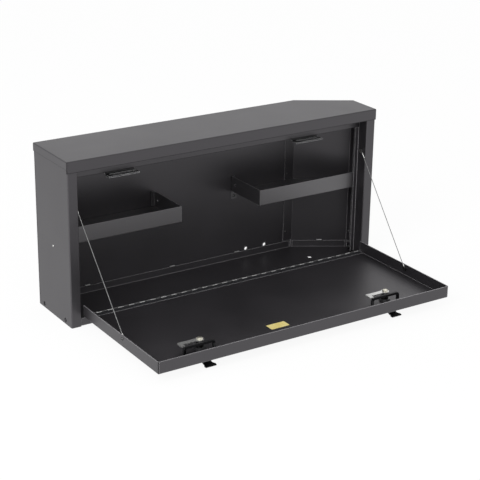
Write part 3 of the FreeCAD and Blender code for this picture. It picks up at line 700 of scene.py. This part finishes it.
def cableEye(name, centre, run, reach):
    bm = bmesh.new()
    section = Matrix.Translation((0, cable["loop"], 0)) @ Matrix.Rotation(math.pi / 2, 4, "Y")
    bmesh.ops.create_circle(bm, segments=cable["loopSides"], radius=cable["loopRope"], matrix=section)
    spinRound(bm, bm.verts[:] + bm.edges[:], cable["loopSteps"], axis=(1, 0, 0))
    bmesh.ops.translate(bm, vec=centre, verts=bm.verts)
    length = reach - cable["sleeveStart"]
    sleeve = bmesh.ops.create_cone(bm, cap_ends=True, segments=cable["sleeveSides"], radius1=1, radius2=1,
                                   depth=length)["verts"]
    across = run.cross(Vector((1, 0, 0)))
    turn = Matrix((Vector((1, 0, 0)), across, run)).transposed().to_4x4()
    place = Matrix.Translation(centre + run * (cable["sleeveStart"] + length / 2)) @ turn
    bmesh.ops.transform(bm, matrix=place @ Matrix.Diagonal((*cable["sleeve"], 1, 1)), verts=sleeve)
    around = {e for v in sleeve for e in v.link_edges}
    rims = [e for e in around if any(len(f.verts) > 4 for f in e.link_faces)]
    bevelEdges(bm, rims, cable["sleeveEdge"], 2)
    return closePiece(name, bm, mats["zincPlate"], cable["sharpDeg"])


def makeCables():
    for side, word in ((-1, "left"), (1, "right")):
        upper, lower, run = cableEnds(side)
        rope, path = cableRope(word + "StayCable", upper, lower, run)
        eyes = [cableEye(word + "UpperEye", upper, run, cable["upperReach"]),
                cableEye(word + "LowerEye", lower, -run, cable["lowerReach"])]
        # the rope runs from eye to eye
        for piece in [rope] + eyes:
            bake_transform(piece)


makeCables()

# lock straps: a square bar bent over each lock, with an eye round the drive under the cam
strap = {"left": 0.043, "right": 0.029, "thick": 0.0054, "depth": 0.0050, "ahead": 0.0080, "bend": 0.0025,
         "bendSteps": 6, "eyeInner": 0.00464, "eyeOuter": 0.0066, "eyeThick": 0.0036, "eyeSteps": 28,
         "neck": 0.0050, "edge": 0.0005, "edgeAngle": 1.0}
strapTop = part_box("lock_brackets")[1][2]


def lockSpot(side):
    low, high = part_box(side + "_cam_bolt")
    return (low[0] + high[0]) / 2, (low[1] + high[1]) / 2


def bendFace(bm, face, centre):
    turned = spinPart(bm, [face], math.pi / 2, strap["bendSteps"], centre, (0, 1, 0))
    return next(f for f in turned["geom_last"] if isinstance(f, bmesh.types.BMFace))


def strapBar(bm, lockX, lockY):
    rear = lockY - strap["ahead"]
    front = rear - strap["depth"]
    left, right = lockX - strap["left"], lockX + strap["right"]
    turn = strap["thick"] + strap["bend"]
    corners = ((left, front), (left + strap["thick"], front), (left + strap["thick"], rear), (left, rear))
    face = bm.faces.new([bm.verts.new((x, y, doorSkin)) for x, y in corners])
    face = pullFace(bm, face, (0, 0, strapTop - turn - doorSkin))
    face = bendFace(bm, face, (left + turn, 0, strapTop - turn))
    face = pullFace(bm, face, (right - left - 2 * turn, 0, 0))
    face = bendFace(bm, face, (right - turn, 0, strapTop - turn))
    pullFace(bm, face, (0, 0, doorSkin - strapTop + turn))


def strapEye(bm, lockX, lockY):
    low = strapTop - strap["eyeThick"]
    inner, outer = lockX + strap["eyeInner"], lockX + strap["eyeOuter"]
    section = ((inner, low), (outer, low), (outer, strapTop), (inner, strapTop))
    line = drawLine(bm, [(x, lockY, z) for x, z in section], True)
    spinRound(bm, line, strap["eyeSteps"], (lockX, lockY, 0))
    addBlock(bm, (lockX - strap["neck"], lockY - strap["ahead"] - strap["edge"], low),
             (lockX + strap["neck"], lockY - strap["eyeInner"], strapTop - strap["edge"]))


def makeStraps():
    bm = bmesh.new()
    for side in ("left", "right"):
        strapBar(bm, *lockSpot(side))
    bmesh.ops.recalc_face_normals(bm, faces=bm.faces)
    bevelEdges(bm, [e for e in bm.edges if e.calc_face_angle(0) > strap["edgeAngle"]], strap["edge"], 2)
    for side in ("left", "right"):
        strapEye(bm, *lockSpot(side))
    piece = closePiece("lockStraps", bm, mats["strapBlack"])
    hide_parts("lock_brackets")
    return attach(piece, "door")


makeStraps()

# cam bolts: small hex heads, chamfered, on a plain shank
camBolt = {"flats": 0.0106, "chamfer": 0.0007, "shank": 0.0020, "shankSides": 20, "rimReach": 1e-5,
           "sharpDeg": 25}


def makeCamBolt(side):
    x, y = lockSpot(side)
    low, top = (corner[2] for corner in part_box(side + "_cam_bolt"))
    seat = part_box(side + "_lock_cam")[1][2]
    bm = bmesh.new()
    radius = camBolt["flats"] / math.sqrt(3)
    bmesh.ops.create_cone(bm, cap_ends=True, segments=6, radius1=radius, radius2=radius, depth=top - seat,
                          matrix=Matrix.Translation((x, y, (top + seat) / 2)))
    rim = [e for e in bm.edges if min(v.co.z for v in e.verts) > top - camBolt["rimReach"]]
    bevelEdges(bm, rim, camBolt["chamfer"], 2)
    bmesh.ops.create_cone(bm, cap_ends=True, segments=camBolt["shankSides"], radius1=camBolt["shank"],
                          radius2=camBolt["shank"], depth=seat - low,
                          matrix=Matrix.Translation((x, y, (seat + low) / 2)))
    piece = closePiece(side + "CamBolt", bm, mats["boltBrass"], camBolt["sharpDeg"])
    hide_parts(side + "_cam_bolt")
    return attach(piece, side + "_lock")


for lockSide in ("left", "right"):
    makeCamBolt(lockSide)
print("stage: locks")

# blank yellow label on the door's inner face
label = {"x": (-0.0605, -0.0170), "y": (-0.3282, -0.3067), "thick": 0.0002, "corner": 0.0012,
         "cornerSteps": 4, "color": (0.67, 0.55, 0.17), "pale": (0.75, 0.65, 0.29), "rough": 0.45,
         "fadeRough": 0.2, "fadeScale": 45, "fadeDetail": 3, "fadeRange": (0.25, 0.80)}


def makeLabel():
    mat, tree, shader = newMaterial("labelYellow")
    blotch = noiseNode(tree, objectCoord(tree), label["fadeScale"], label["fadeDetail"])
    faded = spreadNode(tree, blotch, *label["fadeRange"])
    rough = mathNode(tree, "MULTIPLY_ADD", faded, label["fadeRough"], label["rough"])
    tree.links.new(mixColor(tree, faded, label["color"], label["pale"]), shader.inputs["Base Color"])
    tree.links.new(rough, shader.inputs["Roughness"])
    bm = bmesh.new()
    (x0, x1), (y0, y1) = label["x"], label["y"]
    addBlock(bm, (x0, y0, doorSkin), (x1, y1, doorSkin + label["thick"]))
    uprights = [e for e in bm.edges if abs(e.verts[0].co.z - e.verts[1].co.z) > label["thick"] / 2]
    bevelEdges(bm, uprights, label["corner"], label["cornerSteps"])
    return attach(closePiece("doorLabel", bm, mat), "door")


makeLabel()
print("stage: label")

# white floor and plain studio light
studio = {"floorSize": 12.0, "floorDrop": 0.0005, "floorColor": (0.94, 0.94, 0.94), "floorRough": 0.9,
          "floorGlow": 0.92, "worldLight": 0.85}


def seenRays(tree):
    path = addNode(tree, "ShaderNodeLightPath")
    seen = mathNode(tree, "MAXIMUM", path.outputs["Is Camera Ray"], path.outputs["Is Glossy Ray"])
    return mathNode(tree, "MAXIMUM", seen, path.outputs["Is Transmission Ray"])


def makeFloor():
    mesh = bpy.data.meshes.new("floor")
    bm = bmesh.new()
    bmesh.ops.create_grid(bm, x_segments=1, y_segments=1, size=studio["floorSize"],
                          matrix=Matrix.Translation((0, 0, -studio["floorDrop"])))
    bm.to_mesh(mesh)
    bm.free()
    floor = bpy.data.objects.new("floor", mesh)
    bpy.context.collection.objects.link(floor)
    mat, tree, shader = newMaterial("whiteFloor")
    shader.inputs["Base Color"].default_value = (*studio["floorColor"], 1)
    shader.inputs["Roughness"].default_value = studio["floorRough"]
    shader.inputs["Specular IOR Level"].default_value = 0.0
    glow = addNode(tree, "ShaderNodeEmission")
    mix = addNode(tree, "ShaderNodeMixShader")
    tree.links.new(mathNode(tree, "MULTIPLY", seenRays(tree), studio["floorGlow"]), mix.inputs["Fac"])
    tree.links.new(shader.outputs["BSDF"], mix.inputs[1])
    tree.links.new(glow.outputs["Emission"], mix.inputs[2])
    tree.links.new(mix.outputs["Shader"], tree.nodes["Material Output"].inputs["Surface"])
    mesh.materials.append(mat)


def makeWorld():
    world = bpy.data.worlds.new("studio")
    bpy.context.scene.world = world
    world.use_nodes = True
    tree = world.node_tree
    back = tree.nodes["Background"]
    back.inputs["Color"].default_value = (1, 1, 1, 1)
    level = addNode(tree, "ShaderNodeMapRange")
    tree.links.new(seenRays(tree), level.inputs["Value"])
    level.inputs["To Min"].default_value = studio["worldLight"]
    level.inputs["To Max"].default_value = 1.0
    tree.links.new(level.outputs["Result"], back.inputs["Strength"])


keyLamp = {"place": (-2.2, -1.2, 1.8), "aim": (-0.2, -0.1, 0.2), "size": 1.8, "power": 44}


def makeLamp(name, lamp):
    data = bpy.data.lights.new(name, "AREA")
    data.shape = "DISK"
    data.size = lamp["size"]
    data.energy = lamp["power"]
    light = bpy.data.objects.new(name, data)
    aim = Vector(lamp["aim"]) - Vector(lamp["place"])
    light.matrix_world = Matrix.Translation(lamp["place"]) @ aim.to_track_quat("-Z", "Y").to_matrix().to_4x4()
    bpy.context.collection.objects.link(light)


makeFloor()
makeWorld()
makeLamp("keyLamp", keyLamp)
bpy.context.scene.view_settings.view_transform = "Standard"
print("stage: studio")
